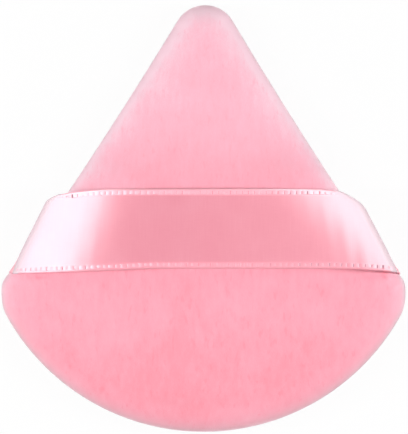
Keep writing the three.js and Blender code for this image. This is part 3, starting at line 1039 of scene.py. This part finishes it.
def selvedgeMaterial():
    material, tree = newMaterial("selvedge_yarn")
    place = objectPlace(tree)
    fibre = noise(tree, place, scale=5200, detail=2)
    shadedYarn = ramp(tree, fibre, [(0.2, (240, 146, 162)), (0.6, (246, 159, 175)), (0.9, (251, 174, 189))])
    litYarn = ramp(tree, fibre, [(0.2, (244, 156, 172)), (0.6, (250, 173, 188)), (0.9, (254, 190, 203))])
    # the upper wraps are painted lighter and the lower ones deeper, as light and shade
    litShare = ranged(tree, axis(tree, place, "Y"), -6 * mm, 2 * mm)
    look = {"Base Color": mixColour(tree, litShare, shadedYarn, litYarn), "Roughness": 0.42, "IOR": 2.2}
    showPrincipled(tree, look, fibre, strength=0.3, distance=0.05 * mm)
    return material


def gapShadeMaterial():
    # dark barrels as painted shade in the gaps between wraps, darker towards the shoulders
    material, tree = newMaterial("selvedge_gap_shade")
    place = objectPlace(tree)
    aside = maths(tree, "ABSOLUTE", axis(tree, place, "X"))
    patch = ranged(tree, noise(tree, place, scale=900, detail=1), 0.3, 0.55)
    shadeShare = times(tree, ranged(tree, aside, 10 * mm, 20 * mm), patch)
    colour = mixColour(tree, shadeShare, srgb(238, 146, 160), srgb(160, 124, 136))
    showPrincipled(tree, {"Base Color": colour, "Roughness": 0.9})
    return material


def namedField(tree, name, kind="FLOAT"):
    return outputOf(tree, "GeometryNodeInputNamedAttribute", {"Name": name}, data_type=kind)


def combined(tree, x, y, z):
    return outputOf(tree, "ShaderNodeCombineXYZ", {"X": x, "Y": y, "Z": z})


def enlarged(tree, vector, factor):
    return outputOf(tree, "ShaderNodeVectorMath", {0: vector, "Scale": factor}, operation="SCALE")


def yarnBarrel(tree):
    # a barrel of unit size, full in the middle and rounded off towards both ends
    line = outputOf(tree, "GeometryNodeCurvePrimitiveLine", {"Start": (-0.5, 0, 0), "End": (0.5, 0, 0)})
    core = outputOf(tree, "GeometryNodeResampleCurve", {"Curve": line, "Count": 6})
    place = addNode(tree, "GeometryNodeSplineParameter").outputs["Factor"]
    outward = maths(tree, "ABSOLUTE", minus(tree, times(tree, place, 2.0), 1.0))
    girth = minus(tree, 0.5, times(tree, maths(tree, "POWER", outward, 4.0), 0.26))
    core = outputOf(tree, "GeometryNodeSetCurveRadius", {"Curve": core, "Radius": girth})
    girdle = outputOf(tree, "GeometryNodeCurvePrimitiveCircle", {"Resolution": 8, "Radius": 1.0})
    inputs = {"Curve": core, "Profile Curve": girdle, "Fill Caps": True}
    return outputOf(tree, "GeometryNodeCurveToMesh", inputs)


def selvedgeTree(yarn, shade, setup):
    # one flat wrap of yarn at every pitch along the path, turned to lie in the ribbon
    tree = bpy.data.node_groups.new("selvedge_wraps", "GeometryNodeTree")
    tree.interface.new_socket("Path", in_out="INPUT", socket_type="NodeSocketGeometry")
    for name in setup["inputs"]:
        tree.interface.new_socket(name, in_out="INPUT", socket_type="NodeSocketFloat")
    tree.interface.new_socket("Wraps", in_out="OUTPUT", socket_type="NodeSocketGeometry")
    given = tree.nodes.new("NodeGroupInput").outputs
    path = outputOf(tree, "GeometryNodeMeshToCurve", {"Mesh": given["Path"]})
    spacing = {"Curve": path, "Length": given["Pitch"]}
    spaced = outputOf(tree, "GeometryNodeResampleCurve", spacing, mode="LENGTH")
    barrel = yarnBarrel(tree)
    size = combined(tree, given["Across"], given["Along"], given["Height"])
    wrap = outputOf(tree, "GeometryNodeTransform", {"Geometry": barrel, "Scale": size})
    # a dark barrel as painted shade in the gap between two wraps, half a pitch further along
    thin = times(tree, given["Height"], setup["gapHeight"])
    size = combined(tree, given["Gap across"], given["Gap along"], thin)
    ahead = combined(tree, 0.0, times(tree, given["Pitch"], 0.5), 0.0)
    gap = outputOf(tree, "GeometryNodeTransform", {"Geometry": barrel, "Translation": ahead, "Scale": size})
    marked = {"Geometry": gap, "Name": "gap", "Value": 1.0}
    gap = outputOf(tree, "GeometryNodeStoreNamedAttribute", marked, data_type="FLOAT", domain="FACE")
    axes = {
        "Primary Axis": namedField(tree, "upward", "FLOAT_VECTOR"),
        "Secondary Axis": namedField(tree, "sideways", "FLOAT_VECTOR"),
    }
    turned = outputOf(tree, "FunctionNodeAxesToRotation", axes, primary_axis="Z", secondary_axis="X")
    limits = {"Min": (-1, -1, -1), "Max": (1, 1, 1), "Seed": setup["seed"]}
    uneven = outputOf(tree, "FunctionNodeRandomValue", limits, data_type="FLOAT_VECTOR")
    change = enlarged(tree, uneven, given["Unevenness"])
    scale = outputOf(tree, "ShaderNodeVectorMath", {0: change, 1: (1, 1, 1)}, operation="ADD")
    fullness = namedField(tree, "fullness")
    unpressed = maths(tree, "GREATER_THAN", fullness, setup["gapFrom"])
    both = tree.nodes.new("GeometryNodeJoinGeometry")
    for shape, size, chosen in ((wrap, enlarged(tree, scale, fullness), True), (gap, scale, unpressed)):
        placed = outputOf(tree, "GeometryNodeInstanceOnPoints", {
            "Points": spaced, "Selection": chosen, "Instance": shape, "Rotation": turned, "Scale": size})
        tree.links.new(placed, both.inputs[0])
    inGap = maths(tree, "GREATER_THAN", namedField(tree, "gap"), 0.5)
    wraps = outputOf(tree, "GeometryNodeRealizeInstances", {"Geometry": both.outputs[0]})
    for chosen, material in ((True, yarn), (inGap, shade)):
        wraps = outputOf(tree, "GeometryNodeSetMaterial", {
            "Geometry": wraps, "Selection": chosen, "Material": material})
    addNode(tree, "NodeGroupOutput", {"Wraps": wraps})
    return tree


def selvedgeWraps(grid, crease, turned, setup):
    along = np.gradient(grid, axis=0)
    across = np.gradient(grid, axis=1)
    up = unit(np.cross(along, across))
    points, edges, sideways, upward, fullness = [], [], [], [], []
    for column, inner in ((0, 1), (grid.shape[1] - 1, grid.shape[1] - 2)):
        way = unit(along[:, column])
        side = grid[:, column] - grid[:, inner]
        side = unit(side - way * np.sum(side * way, axis=1)[:, None])  # square to the edge
        line = grid[:, column] - side * setup["inset"] + up[:, column] * setup["lift"]
        run = runAlong(line)
        shown = (run > setup["skipEnds"]) & (run < run[-1] - setup["skipEnds"])
        rows = np.flatnonzero(shown & (crease[:, column] < setup["creased"]))
        first = len(points)
        points += list(line[rows])
        sideways += list(side[rows])
        upward += list(up[rows, column])
        fullness += list(1 - setup["pressed"] * turned[rows, column])
        edges += [(first + i, first + i + 1) for i in np.flatnonzero(np.diff(rows) == 1)]
    path = meshObject("ribbon_selvedge", points, [], edges)
    storeOnPoints(path, "sideways", sideways, "FLOAT_VECTOR", "vector")
    storeOnPoints(path, "upward", upward, "FLOAT_VECTOR", "vector")
    storeOnPoints(path, "fullness", fullness)
    tree = selvedgeTree(selvedgeMaterial(), gapShadeMaterial(), setup)
    modifier = path.modifiers.new("wraps", "NODES")
    modifier.node_group = tree
    for item in tree.interface.items_tree:
        if item.name in setup["inputs"]:
            modifier[item.identifier] = setup["inputs"][item.name]
    wraps = bake(path, "ribbon_selvedge")
    shadeSmooth(wraps)
    return wraps


selvedge = selvedgeWraps(*ribbonForm, selvedgeSetup)
print("selvedge:", len(selvedge.data.polygons), "faces")


def dressRibbon():
    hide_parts("ribbon_strap")
    for piece in (ribbon, selvedge):
        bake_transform(piece)


dressRibbon()
print("ribbon sewn in")


# seam threads, inside the pad

threadNodes = (
    "seam_needle_thread", "seam_bobbin_thread", "closing_stitch_thread", "strap_tack_left",
    "strap_tack_right")


def threadMaterial():
    material, tree = newMaterial("sewing_thread")
    twist = outputOf(tree, "ShaderNodeMapping", {"Vector": objectPlace(tree), "Rotation": (0.5, 0.4, 0.8)})
    ply = addNode(tree, "ShaderNodeTexWave", {
        "Vector": twist, "Scale": 900, "Distortion": 1.5, "Detail": 2}).outputs["Fac"]
    colour = ramp(tree, ply, [(0.2, (236, 168, 182)), (0.8, (252, 205, 214))])
    showPrincipled(tree, {"Base Color": colour, "Roughness": 0.6}, ply, strength=0.5, distance=0.08 * mm)
    return material


thread = threadMaterial()
for node in threadNodes:
    mesh = frame["nodes"][node].data
    mesh.materials.clear()
    mesh.materials.append(thread)
print("threads dressed")
